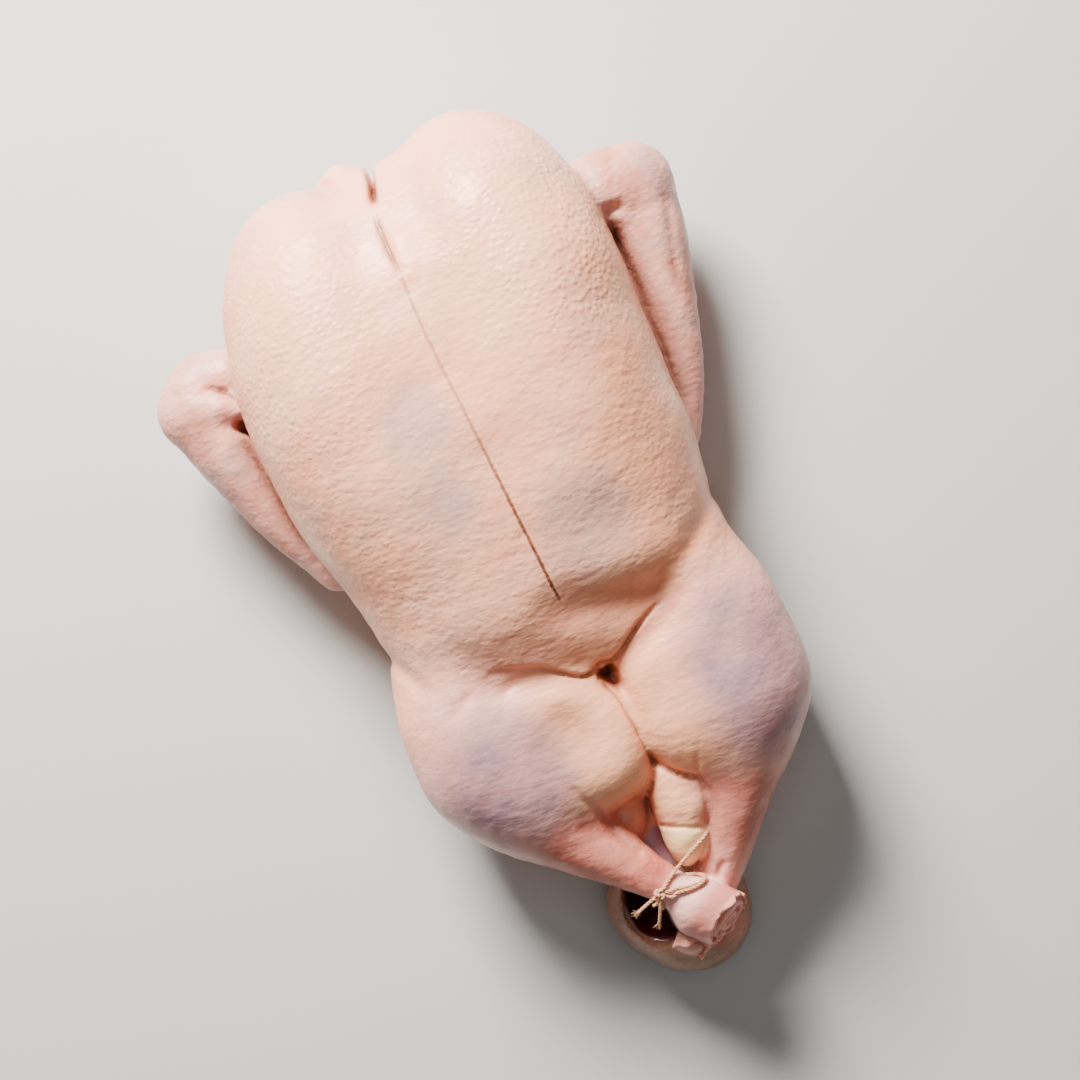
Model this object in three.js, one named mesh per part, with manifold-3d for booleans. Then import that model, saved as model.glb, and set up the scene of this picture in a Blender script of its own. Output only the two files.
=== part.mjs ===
// Whole raw duck, plucked and oven-ready, lying on its back with its legs crossed and tied.
//
// Millimetres. X runs across the bird, +Y points to its neck end and +Z is up. The origin lies in the
// plane that the bird rests on, under the middle of its bounding box.
//
// The carcass is one solid of meat and skin. Its form is a field, a function that gives each point its
// distance to the surface, negative inside the meat. Rounded lumps and tapering limbs are blended into
// one field, the body cavity is carved out of it, and a surface is stretched over the result.
// The twine round the legs is a second solid.

import * as THREE from "three";
import { triTable } from "three/addons/objects/MarchingCubes.js";
import { mergeVertices } from "three/addons/utils/BufferGeometryUtils.js";
import Module from "manifold-3d";

// ---------------------------------------------------------------- driving dimensions

// The forms below are placed in plan from a point under the keel. This is the middle of the whole
// bird's box in those coordinates, and it becomes the origin.
const PLAN_MIDDLE = { x: -0.59, y: -2.91 };

// A lump is a rounded mass: its centre, its half-sizes, its turn about Z and its tilt in degrees (a
// positive tilt lifts the neck end), and its power: 2 is an ellipsoid, and more is fuller.
const BREAST = {
  left: { at: [-34, 88, 53], half: [43, 74, 53], turn: -2, power: 2.15 },
  right: { at: [35, 93, 53], half: [43, 76, 54], turn: 1, power: 2.15 },
  keel: { at: [1, 88, 52], half: [36, 72, 51.5] },
  ribs: { at: [9, 14, 47], half: [70, 68, 50], tilt: 9, power: 2.25 },
  neckSkin: { at: [-11, 152, 48], half: [10, 15, 20] },
};
const BACK = {
  shoulders: { at: [0, 60, 30], half: [62, 100, 31], power: 2.6 },
  loin: { at: [10, -40, 24], half: [56, 84, 26], power: 2.4 },
};
const THIGHS = {
  left: { at: [-31, -61, 43], half: [32, 44, 33], turn: 16, power: 2.2 },
  right: { at: [57, -62, 43], half: [32, 43, 34], turn: -10, power: 2.2 },
  leftFlank: { at: [-34, -14, 40], half: [24, 42, 36] },
  rightFlank: { at: [54, -12, 40], half: [25, 44, 37] },
};
const BELLY = {
  left: { at: [3, -70, 46], half: [22, 29.5, 27.5], turn: -8, power: 2.5 },
  leftTop: { at: [-7, -50, 50], half: [22, 15, 26], turn: 6 },
  right: { at: [35.5, -67, 46], half: [18.5, 31, 27], turn: 6, power: 2.4 },
  rightTop: { at: [35, -50, 50], half: [15, 14, 24.5], turn: -10 },
  underLobe: { at: [4, -99.5, 40], half: [9.5, 16.5, 13], turn: -8 },
  rightLobe: { at: [27, -98.5, 45], half: [14.5, 19.5, 15.2], turn: 4, power: 2.6 },
  membrane: { at: [9, -120, 31], half: [10, 14, 10] },
};
const TAIL = {
  rump: { at: [10.8, -147.5, 20], half: [23.6, 28.6, 23], turn: 46, power: 2.2 },
  side: { at: [19, -138, 20], half: [18.5, 31, 18], turn: -4 },
};

// A limb is a rod of changing radius: its stations are centre x, y, z and radius.
const LEGS = {
  left: [
    [-36, -66, 46, 26],
    [-19, -99, 48, 16],
    [-4, -118, 51, 10],
    [7, -131.5, 53, 7.3],
    [12, -138, 53, 7.2],
    [18, -145.5, 52, 10.2],
    [24, -151.5, 51.5, 10.6],
    [31, -158, 51, 10.2],
  ],
  heel: [
    [14.5, -146, 50, 8.8],
    [20, -151, 50, 9],
  ],
  right: [
    [60, -74, 46, 26],
    [48.5, -104, 47, 15.5],
    [37.5, -126, 44, 9.8],
    [30, -137, 41, 8],
    [22, -145.5, 39, 7.5],
    [15.5, -151.5, 40.5, 7],
    [11.5, -156.5, 42, 6.5],
  ],
};
// The left hock is cut off: a point of the cut face and the direction that it faces.
const HOCK_CUT = { at: [27.8, -153.9, 50], facing: [0.55, -0.75, 0.37] };
const SKIN_FLAP = [
  [24.5, -108, 47, 10.5],
  [23.3, -116, 47, 9.3],
  [22, -121.5, 46.5, 7.4],
  [20.3, -126.5, 44, 4.2],
];
const CAVITY = [
  [-2, -139.5, 46, 10.2],
  [1, -145, 44, 10.8],
  [3, -136, 33, 10],
  [7, -122, 23, 7.5],
  [8, -100, 21, 7],
];
const LEFT_WING = {
  forearm: [
    [-94, 98, 38, 14.5],
    [-88.5, 80, 37, 13.6],
    [-82.5, 60, 36, 11.2],
    [-76.5, 42, 35, 8.6],
    [-67, 22, 34, 7],
  ],
  elbow: [
    [-58, 104, 38, 14],
    [-78, 107, 39, 11.5],
    [-90, 108, 39, 12],
    [-96, 100, 38, 12],
  ],
  wristFold: [
    [-95, 98, 44, 8],
    [-84, 96, 47, 6.5],
    [-77, 90, 46, 4.5],
  ],
  web: [
    [-62, 100, 35, 11],
    [-72, 96, 37, 8.5],
    [-72, 84, 31, 9],
    [-72, 76, 37, 9],
    [-71.5, 60, 37, 8],
    [-69, 44, 36, 6.8],
  ],
};
const RIGHT_WING = {
  forearm: [
    [93, 119, 38, 15],
    [93, 102, 38, 13.8],
    [91, 82, 37, 11.8],
    [88.5, 62, 36, 9.4],
    [84.5, 42, 35, 7.6],
    [77, 24, 34, 6.5],
  ],
  elbow: [
    [60, 116, 40, 17],
    [80, 122.5, 41, 15.5],
    [92, 122, 39, 15.2],
  ],
  web: [
    [73, 106, 33, 9],
    [77, 84, 34, 9],
    [78, 62, 37, 8],
    [79, 44, 37, 7],
  ],
};

// Widths over which neighbouring forms run into each other, from a tight fold to soft meat.
const BLEND = { fold: 2, skin: 3, joint: 6, meat: 12, broad: 20, wide: 30 };

const SURFACE = { cell: 7.2, edgeMargin: 0.12, relaxing: 3, smoothing: 3, flatBelow: 0.6 };
const FIELD_BOX = { low: [-116, -184, -7.2], high: [116, 180, 116] };

const TWINE = {
  radius: 0.75,
  gap: 0.9,
  sides: 6,
  // Each turn goes round a centre inside the upper leg. Seen in plan it lies one way over the leg and
  // another way under it.
  turns: [
    { centre: [10.0, -134.0, 53], over: [0.96, -0.27], under: [0.88, 0.47] },
    { centre: [10.6, -136.0, 53], over: [0.99, -0.13], under: [0.84, 0.54] },
  ],
  angles: 20,
  slack: 2.5,
  knot: { at: [5.5, -134], half: [2.6, 2.1, 1.8] },
  cutEnds: [
    { bend: [0.5, -136, 60], tip: [-5, -138.5, 57] },
    { bend: [3.5, -139.5, 60], tip: [1, -145.5, 56] },
  ],
  tie: { over: [12.5, -129.2], span: [22, -124.2], tuck: [29.5, -120.2] },
};

const SKIN_COLOUR = 0xe6c4b2;
const TWINE_COLOUR = 0xcda77e;

// ---------------------------------------------------------------- the field's vocabulary

const radians = THREE.MathUtils.degToRad;

// The smooth minimum of two distances: it joins two forms with a fillet of about the given width.
function blend(a, b, width) {
  const h = Math.max(width - Math.abs(a - b), 0) / width;
  return Math.min(a, b) - (h * h * width) / 4;
}

// The smooth maximum: what is left of form a outside form b, when b's distance comes in negated.
function carve(a, b, width) {
  return -blend(-a, -b, width);
}

function lump({ at, half, turn = 0, tilt = 0, power = 2 }) {
  const [cosTurn, sinTurn] = [Math.cos(radians(turn)), Math.sin(radians(turn))];
  const [cosTilt, sinTilt] = [Math.cos(radians(tilt)), Math.sin(radians(tilt))];
  return (p) => {
    const [x, y, z] = [p.x - at[0], p.y - at[1], p.z - at[2]];
    const along = cosTurn * y - sinTurn * x;
    const local = [cosTurn * x + sinTurn * y, cosTilt * along + sinTilt * z, cosTilt * z - sinTilt * along];
    const share = local.map((value, i) => Math.abs(value) / half[i]);
    const sum = share.reduce((total, s) => total + s ** power, 1e-12);
    const level = sum ** (1 / power);
    const slope = share.map((s, i) => (Math.max(s, 1e-6) / level) ** (power - 1) / half[i]);
    return (level - 1) / Math.hypot(...slope);
  };
}

// The distance to a cone with rounded ends, between two stations.
function roundCone(a, b) {
  const axis = new THREE.Vector3(b[0] - a[0], b[1] - a[1], b[2] - a[2]);
  const length = axis.length();
  axis.divideScalar(length);
  const sine = THREE.MathUtils.clamp((a[3] - b[3]) / length, -0.95, 0.95);
  const lean = sine / Math.sqrt(1 - sine * sine);
  return (p) => {
    const [x, y, z] = [p.x - a[0], p.y - a[1], p.z - a[2]];
    const h = x * axis.x + y * axis.y + z * axis.z;
    const off = Math.sqrt(Math.max(x * x + y * y + z * z - h * h, 0));
    const t = THREE.MathUtils.clamp((h - off * lean) / length, 0, 1);
    return Math.hypot(off, h - t * length) - (a[3] + t * (b[3] - a[3]));
  };
}

// A limb follows a smooth curve through its stations, in short cones.
function limb(stations, pieces = 5) {
  const path = smoothRow(stations, pieces);
  const cones = path.slice(1).map((station, i) => roundCone(path[i], station));
  return (p) => cones.reduce((least, cone) => Math.min(least, cone(p)), Infinity);
}

// Catmull-Rom through rows of numbers, with the given number of pieces between two rows.
function smoothRow(rows, pieces) {
  const first = rows[0].map((v, i) => 2 * v - rows[1][i]);
  const last = rows.at(-1).map((v, i) => 2 * v - rows.at(-2)[i]);
  const all = [first, ...rows, last];
  const path = [];
  for (let k = 1; k < all.length - 2; k++) {
    for (let j = 0; j < pieces; j++) {
      const t = j / pieces;
      path.push(all[k].map((_, i) => catmullRom(all[k - 1][i], all[k][i], all[k + 1][i], all[k + 2][i], t)));
    }
  }
  path.push(rows.at(-1));
  return path;
}

function catmullRom(a, b, c, d, t) {
  const bend = 2 * a - 5 * b + 4 * c - d;
  const twist = 3 * b - a - 3 * c + d;
  return 0.5 * (2 * b + (c - a) * t + bend * t * t + twist * t * t * t);
}

// ---------------------------------------------------------------- the carcass, form by form

function breastField() {
  const [left, right, keel] = [lump(BREAST.left), lump(BREAST.right), lump(BREAST.keel)];
  const [ribs, neckSkin] = [lump(BREAST.ribs), lump(BREAST.neckSkin)];
  return (p) => {
    const muscles = blend(blend(left(p), right(p), BLEND.broad), keel(p), BLEND.meat);
    return blend(blend(muscles, ribs(p), BLEND.wide), neckSkin(p), BLEND.joint);
  };
}

function leftLegField() {
  const [leg, heel] = [limb(LEGS.left), limb(LEGS.heel)];
  const { at, facing } = HOCK_CUT;
  return (p) => {
    const pastCut = (p.x - at[0]) * facing[0] + (p.y - at[1]) * facing[1] + (p.z - at[2]) * facing[2];
    return carve(blend(leg(p), heel(p), BLEND.skin), pastCut, BLEND.fold);
  };
}

function lobesField() {
  const [under, right] = [lump(BELLY.underLobe), lump(BELLY.rightLobe)];
  const [flap, membrane] = [limb(SKIN_FLAP), lump(BELLY.membrane)];
  return (p) => {
    const lobes = blend(blend(under(p), right(p), BLEND.fold), flap(p), BLEND.fold);
    return blend(lobes, membrane(p), BLEND.fold);
  };
}

function bellyField() {
  const sides = [[BELLY.left, BELLY.leftTop], [BELLY.right, BELLY.rightTop]];
  const halves = sides.map(([bulge, top]) => [lump(bulge), lump(top)]);
  return (p) => {
    const [left, right] = halves.map(([bulge, top]) => blend(bulge(p), top(p), BLEND.meat));
    return blend(left, right, BLEND.skin);
  };
}

// Thighs, legs, belly and tail, with the body cavity open between the legs and the tail.
function rearField() {
  const [leftLeg, rightLeg] = [leftLegField(), limb(LEGS.right)];
  const [leftThigh, rightThigh] = [lump(THIGHS.left), lump(THIGHS.right)];
  const [leftFlank, rightFlank] = [lump(THIGHS.leftFlank), lump(THIGHS.rightFlank)];
  const [belly, lobes] = [bellyField(), lobesField()];
  const [loin, rump, tailSide, cavity] = [lump(BACK.loin), lump(TAIL.rump), lump(TAIL.side), limb(CAVITY)];
  return (p) => {
    const [legLeft, legRight] = [leftLeg(p), rightLeg(p)];
    const left = blend(blend(leftThigh(p), legLeft, BLEND.meat), leftFlank(p), BLEND.broad);
    const right = blend(blend(rightThigh(p), legRight, BLEND.meat), rightFlank(p), BLEND.broad);
    let f = blend(blend(left, right, BLEND.fold), belly(p), BLEND.meat);
    f = blend(f, loin(p), BLEND.meat);
    f = blend(f, lobes(p), BLEND.fold);
    f = blend(f, blend(rump(p), tailSide(p), BLEND.joint), BLEND.joint);
    f = carve(f, -cavity(p), BLEND.skin);
    return blend(blend(f, legLeft, BLEND.fold), legRight, BLEND.fold);
  };
}

function wingsField() {
  const wings = [LEFT_WING, RIGHT_WING].map(({ forearm, elbow, web }) => [limb(forearm), limb(elbow), limb(web)]);
  const wristFold = limb(LEFT_WING.wristFold);
  return (p) => {
    const [left, right] = wings.map(([forearm, elbow, web]) =>
      blend(blend(forearm(p), elbow(p), BLEND.joint), web(p), BLEND.skin));
    return Math.min(blend(left, wristFold(p), BLEND.skin), right);
  };
}

// The whole carcass, flat where its back lies on the board.
function carcassField() {
  const [breast, rear, wings, shoulders] = [breastField(), rearField(), wingsField(), lump(BACK.shoulders)];
  return (p) => {
    let f = blend(breast(p), rear(p), BLEND.joint);
    f = blend(f, shoulders(p), BLEND.meat);
    f = blend(f, wings(p), BLEND.skin);
    return carve(f, -p.z, 1);
  };
}

// ---------------------------------------------------------------- a surface over the field

// The corners of a grid cell and the pairs of corners that its twelve edges join, in the order that the
// marching cubes table counts them.
const CORNERS = [
  [0, 0, 0], [1, 0, 0], [1, 1, 0], [0, 1, 0],
  [0, 0, 1], [1, 0, 1], [1, 1, 1], [0, 1, 1],
];
const EDGES = [
  [0, 1], [1, 2], [2, 3], [3, 0], [4, 5], [5, 6],
  [6, 7], [7, 4], [0, 4], [1, 5], [2, 6], [3, 7],
];

function sampleGrid(field, { low, high }, cell) {
  const count = low.map((v, i) => Math.ceil((high[i] - v) / cell) + 1);
  const values = new Float64Array(count[0] * count[1] * count[2]);
  const index = (i, j, k) => (i * count[1] + j) * count[2] + k;
  const place = (i, j, k) => new THREE.Vector3(low[0] + i * cell, low[1] + j * cell, low[2] + k * cell);
  for (let i = 0; i < count[0]; i++)
    for (let j = 0; j < count[1]; j++)
      for (let k = 0; k < count[2]; k++) values[index(i, j, k)] = field(place(i, j, k));
  return { count, values, index, place };
}

// Marching cubes with shared vertices: one vertex for each grid edge that the surface crosses.
function stretchSurface(grid, margin) {
  const [vertices, triangles, vertexOfEdge] = [[], [], new Map()];
  const vertexOn = (a, b) => {
    const [from, to] = [grid.index(...a), grid.index(...b)];
    const key = from < to ? `${from}_${to}` : `${to}_${from}`;
    if (!vertexOfEdge.has(key)) {
      const [fa, fb] = [grid.values[from], grid.values[to]];
      const t = THREE.MathUtils.clamp(fa / (fa - fb), margin, 1 - margin);
      vertexOfEdge.set(key, vertices.length);
      vertices.push(grid.place(...a).lerp(grid.place(...b), t));
    }
    return vertexOfEdge.get(key);
  };
  for (let i = 0; i < grid.count[0] - 1; i++)
    for (let j = 0; j < grid.count[1] - 1; j++)
      for (let k = 0; k < grid.count[2] - 1; k++) {
        const corners = CORNERS.map((c) => [i + c[0], j + c[1], k + c[2]]);
        const inside = corners.map((c) => grid.values[grid.index(...c)] < 0);
        const pattern = inside.reduce((bits, isIn, n) => bits | (isIn ? 1 << n : 0), 0);
        for (let n = pattern * 16; triTable[n] >= 0; n += 3) {
          const [a, b, c] = [0, 2, 1].map((m) => EDGES[triTable[n + m]]);
          triangles.push([a, b, c].map(([s, e]) => vertexOn(corners[s], corners[e])));
        }
      }
  return { vertices, triangles };
}

function neighboursOf({ vertices, triangles }) {
  const neighbours = vertices.map(() => new Set());
  for (const [a, b, c] of triangles) {
    neighbours[a].add(b).add(c);
    neighbours[b].add(a).add(c);
    neighbours[c].add(a).add(b);
  }
  return neighbours;
}

// Moves each vertex a share of the way to the middle of its neighbours.
function soften(vertices, neighbours, share) {
  const middles = neighbours.map((set) => {
    const middle = new THREE.Vector3();
    set.forEach((n) => middle.add(vertices[n]));
    return middle.divideScalar(set.size);
  });
  vertices.forEach((v, i) => v.lerp(middles[i], share));
}

// Evens the triangles out on the field, then smooths what is left of the grid without shrinking the form.
function relax(surface, field) {
  const neighbours = neighboursOf(surface);
  for (let round = 0; round < SURFACE.relaxing; round++) {
    soften(surface.vertices, neighbours, 0.5);
    surface.vertices.forEach((v) => settle(v, field));
  }
  for (let round = 0; round < SURFACE.smoothing; round++) {
    soften(surface.vertices, neighbours, 0.5);
    soften(surface.vertices, neighbours, -0.52);
  }
}

// Moves a point along the field's slope to the surface, a little at a time.
function settle(v, field) {
  const step = 0.2;
  const furthest = 1.5;
  for (let n = 0; n < 3; n++) {
    const f = field(v);
    const slope = ["x", "y", "z"].map((axis) => {
      const ahead = v.clone();
      ahead[axis] += step;
      return (field(ahead) - f) / step;
    });
    const steepness = Math.max(Math.hypot(...slope), 0.3);
    const move = THREE.MathUtils.clamp(f / (steepness * steepness), -furthest, furthest);
    v.sub(new THREE.Vector3(...slope).multiplyScalar(move));
  }
}

function carcassGeometry(field) {
  const grid = sampleGrid(field, FIELD_BOX, SURFACE.cell);
  const surface = stretchSurface(grid, SURFACE.edgeMargin);
  relax(surface, field);
  for (const v of surface.vertices) if (v.z < SURFACE.flatBelow) v.z = 0;
  const geometry = new THREE.BufferGeometry().setFromPoints(surface.vertices);
  geometry.setIndex(surface.triangles.flat());
  return geometry;
}

// ---------------------------------------------------------------- the twine

// The height above the point (x, y) at which the field falls to the given clearance, coming down.
function heightOver(field, x, y, clearance) {
  const p = new THREE.Vector3(x, y, FIELD_BOX.high[2]);
  while (field(p) > clearance && p.z > 0) p.z -= 0.05;
  return p;
}

// One turn round the left leg, from the knot and back to it. It keeps clear of the leg, and of the rest
// of the meat as far as the slack allows.
function turnRoundLeg(field, leg, knot, turn, clearance) {
  const centre = new THREE.Vector3(...turn.centre);
  const start = Math.atan2(knot.z - centre.z, -Math.hypot(knot.x - centre.x, knot.y - centre.y));
  const points = [knot.clone()];
  for (let n = 1; n < TWINE.angles; n++) {
    const angle = start - (n / TWINE.angles) * 2 * Math.PI;
    const height = Math.cos(angle) > 0 ? (1 + Math.sin(angle)) / 2 : 0;
    const way = new THREE.Vector3(...turn.under, 0).lerp(new THREE.Vector3(...turn.over, 0), height);
    const out = way.multiplyScalar(Math.cos(angle));
    out.z = Math.sin(angle);
    const p = centre.clone();
    while (leg(p) < clearance) p.addScaledVector(out, 0.05);
    for (let gone = 0; field(p) < clearance && gone < TWINE.slack; gone += 0.05) p.addScaledVector(out, 0.05);
    points.push(p);
  }
  return [...points, knot.clone()];
}

function strand(points, steps) {
  const round = new THREE.Shape().absarc(0, 0, TWINE.radius, 0, 2 * Math.PI);
  const path = new THREE.CatmullRomCurve3(points, false, "centripetal");
  return new THREE.ExtrudeGeometry(round, {
    steps,
    curveSegments: TWINE.sides / 2,
    bevelEnabled: false,
    extrudePath: path,
  });
}

function twineGeometries(field) {
  const { knot, cutEnds, tie, turns, angles } = TWINE;
  const clearance = TWINE.radius + TWINE.gap;
  const middle = heightOver(field, ...knot.at, knot.half[2] + TWINE.gap);
  const knotBall = new THREE.SphereGeometry(1, 12, 8).scale(...knot.half);
  knotBall.translate(middle.x, middle.y, middle.z);
  const leg = leftLegField();
  const loops = turns.map((turn) => strand(turnRoundLeg(field, leg, middle, turn, clearance), angles + 8));
  const tails = cutEnds.map(({ bend, tip }) =>
    strand([middle, new THREE.Vector3(...bend), new THREE.Vector3(...tip)], 6));
  const overLeg = heightOver(field, ...tie.over, clearance);
  const tucked = heightOver(field, ...tie.tuck, clearance + TWINE.gap);
  const span = new THREE.Vector3(...tie.span, 0);
  span.z = THREE.MathUtils.lerp(overLeg.z, tucked.z, 0.55) + 0.4;
  return [knotBall, ...loops, ...tails, strand([middle, overLeg, span, tucked], 12)];
}

// ---------------------------------------------------------------- joining pieces into one closed solid

const wasm = await Module();
wasm.setup();

function solidOf(geometry) {
  const bare = new THREE.BufferGeometry().setAttribute("position", geometry.getAttribute("position"));
  if (geometry.index) bare.setIndex(geometry.index);
  const merged = mergeVertices(bare, 1e-4);
  const mesh = new wasm.Mesh({
    numProp: 3,
    vertProperties: merged.attributes.position.array,
    triVerts: new Uint32Array(merged.index.array),
  });
  return new wasm.Manifold(mesh);
}

function geometryOf(solid) {
  const { vertProperties, triVerts, numProp } = solid.getMesh();
  const geometry = new THREE.BufferGeometry();
  geometry.setAttribute("position", new THREE.BufferAttribute(new Float32Array(vertProperties), numProp));
  geometry.setIndex(new THREE.BufferAttribute(new Uint32Array(triVerts), 1));
  return geometry;
}

function joined(geometries) {
  return geometryOf(geometries.map(solidOf).reduce((whole, piece) => whole.add(piece)));
}

// ---------------------------------------------------------------- the scene graph

function piece(name, geometry, material) {
  geometry.computeVertexNormals();
  const mesh = new THREE.Mesh(geometry, material);
  mesh.name = name;
  mesh.position.set(-PLAN_MIDDLE.x, -PLAN_MIDDLE.y, 0);
  return mesh;
}

const field = carcassField();
const skin = new THREE.MeshStandardMaterial({ color: SKIN_COLOUR, roughness: 0.5, metalness: 0 });
const twine = new THREE.MeshStandardMaterial({ color: TWINE_COLOUR, roughness: 0.9, metalness: 0 });

const duck = new THREE.Group();
duck.add(piece("carcass", carcassGeometry(field), skin));
duck.add(piece("twine", joined(twineGeometries(field)), twine));

export default duck;
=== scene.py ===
# %% [markdown]
# # A whole raw duck, oven-ready
# The bird lies on its back with its wings folded and its legs crossed and tied. Its finish is modelled here
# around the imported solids, which are loaded first and never moved. Sizes are in millimetres until a piece
# is handed to Blender, which works in metres.

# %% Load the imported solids
import math

import bmesh
import bpy
import numpy as np
import openvdb
from mathutils import Matrix, Vector


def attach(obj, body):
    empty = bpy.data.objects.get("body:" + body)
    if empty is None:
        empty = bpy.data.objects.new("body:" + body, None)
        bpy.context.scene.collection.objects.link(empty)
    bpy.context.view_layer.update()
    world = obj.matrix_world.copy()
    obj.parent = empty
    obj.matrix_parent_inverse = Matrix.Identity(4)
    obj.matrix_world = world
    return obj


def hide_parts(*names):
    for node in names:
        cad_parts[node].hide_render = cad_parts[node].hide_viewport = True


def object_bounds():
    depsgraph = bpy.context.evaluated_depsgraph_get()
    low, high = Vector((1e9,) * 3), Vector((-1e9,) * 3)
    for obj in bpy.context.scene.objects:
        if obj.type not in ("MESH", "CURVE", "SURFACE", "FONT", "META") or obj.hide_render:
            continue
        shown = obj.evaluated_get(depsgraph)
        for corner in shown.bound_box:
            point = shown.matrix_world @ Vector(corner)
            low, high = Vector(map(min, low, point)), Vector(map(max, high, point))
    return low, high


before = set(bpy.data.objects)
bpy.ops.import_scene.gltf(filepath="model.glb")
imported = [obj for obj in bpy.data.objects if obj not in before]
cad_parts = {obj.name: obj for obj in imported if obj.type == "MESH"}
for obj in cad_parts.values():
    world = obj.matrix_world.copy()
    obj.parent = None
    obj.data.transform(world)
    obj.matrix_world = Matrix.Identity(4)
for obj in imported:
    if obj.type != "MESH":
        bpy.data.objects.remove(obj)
cad_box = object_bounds()
print("solids:", sorted(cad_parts))

# %% [markdown]
# ## Camera
# The bird was photographed from straight above, turned a little in the picture. A camera that looks down its
# own -Z axis needs only that roll. The lens follows from how wide a stretch the picture takes in.

# %% Set the camera over the bird
MM = 0.001
PLAN_MIDDLE = np.array([-0.59, -2.91, 0.0])   # the middle of the bird's box, as its forms are placed below
CAMERA_OVER = np.array([10.9, 6.0, 1000.0])
PHOTO_ROLL = math.radians(21)
PHOTO_SPAN = 410.4                            # width of the picture at the height of the bird's flanks
FLANK_HEIGHT = 50.0
SENSOR = 36.0


def in_frame(points):
    """Forms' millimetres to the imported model's metres."""
    return (np.asarray(points, float) - PLAN_MIDDLE) * MM


camera_data = bpy.data.cameras.new("camera")
camera_data.sensor_width = SENSOR
camera_data.lens = SENSOR * (CAMERA_OVER[2] - FLANK_HEIGHT) / PHOTO_SPAN
camera = bpy.data.objects.new("camera", camera_data)
camera.location = in_frame(CAMERA_OVER)
camera.rotation_euler = (0, 0, -PHOTO_ROLL)
bpy.context.scene.collection.objects.link(camera)
bpy.context.scene.camera = camera
print(f"lens {camera_data.lens:.1f} mm")

# %% [markdown]
# ## Light and floor
# One large soft lamp stands beyond the neck end, as in the photo, and a weak one overhead fills the rest.
# A pale world keeps every shadow open. The floor is one plain sheet, far wider than the bird.

# %% Lamps, world and floor
WARM_WHITE = (1.0, 0.94, 0.88)
SOFT_WHITE = (1.0, 0.97, 0.95)
WORLD_STRENGTH = 0.07
FLOOR_HALF = 3.0


def soft_lamp(name, place, size, watts, colour):
    """A square lamp that shines at the middle of the bird. Places and sizes are in metres."""
    data = bpy.data.lights.new(name, "AREA")
    data.size = size
    data.energy = watts
    data.color = colour
    lamp = bpy.data.objects.new(name, data)
    lamp.location = place
    lamp.rotation_mode = "QUATERNION"
    lamp.rotation_quaternion = (-Vector(place)).to_track_quat("-Z", "Y")
    bpy.context.scene.collection.objects.link(lamp)


soft_lamp("key", place=(-0.12, 0.95, 0.72), size=0.45, watts=76.0, colour=WARM_WHITE)
soft_lamp("fill", place=(0.10, -0.10, 1.20), size=0.9, watts=3.0, colour=SOFT_WHITE)

world = bpy.data.worlds.new("studio")
world.use_nodes = True
background = world.node_tree.nodes["Background"]
background.inputs["Color"].default_value = (*SOFT_WHITE, 1.0)
background.inputs["Strength"].default_value = WORLD_STRENGTH
bpy.context.scene.world = world

floor_mesh = bpy.data.meshes.new("floor")
floor_mesh.from_pydata([(x, y, 0) for x, y in ((-1, -1), (1, -1), (1, 1), (-1, 1))], [], [(0, 1, 2, 3)])
floor_mesh.transform(Matrix.Diagonal((FLOOR_HALF, FLOOR_HALF, 1, 1)))
floor = bpy.data.objects.new("floor", floor_mesh)
bpy.context.scene.collection.objects.link(floor)
print(f"lamps: {len(bpy.data.lights)}, floor: {2 * FLOOR_HALF:.0f} m across")

# %% [markdown]
# ## Shader maths as Python
# A material is a graph of small steps. Wrapping a socket in a class lets the graph be written as arithmetic:
# `1 - mask` adds a Math node, and `mask.mix(a, b)` adds a Mix node. Every other node comes from `add`.

# %% A wrapper for sockets


class Socket:
    """The output of a shader node. Operators on it add the nodes that do the sum."""

    def __init__(self, shader, output):
        self.shader = shader
        self.output = output

    def maths(self, operation, *values):
        return self.shader.add("ShaderNodeMath", {"operation": operation}, dict(enumerate(values)))

    def __add__(self, other):
        return self.maths("ADD", self, other)

    def __sub__(self, other):
        return self.maths("SUBTRACT", self, other)

    def __mul__(self, other):
        return self.maths("MULTIPLY", self, other)

    def __rsub__(self, other):
        return self.maths("SUBTRACT", other, self)

    __radd__ = __add__
    __rmul__ = __mul__

    def __abs__(self):
        return self.maths("ABSOLUTE", self)

    def ramp(self, low, high):
        """0 below low and 1 above high, with a smooth step between. With low above high it falls."""
        settings = {"interpolation_type": "SMOOTHSTEP", "clamp": True}
        values = {"Value": self, "From Min": low, "From Max": high}
        return self.shader.add("ShaderNodeMapRange", settings, values)

    def mix(self, low, high):
        """The colour low where this mask is 0, and high where it is 1."""
        settings = {"data_type": "RGBA", "clamp_factor": True}
        return self.shader.add("ShaderNodeMix", settings, {0: self, 6: low, 7: high}, output=2)


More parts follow.
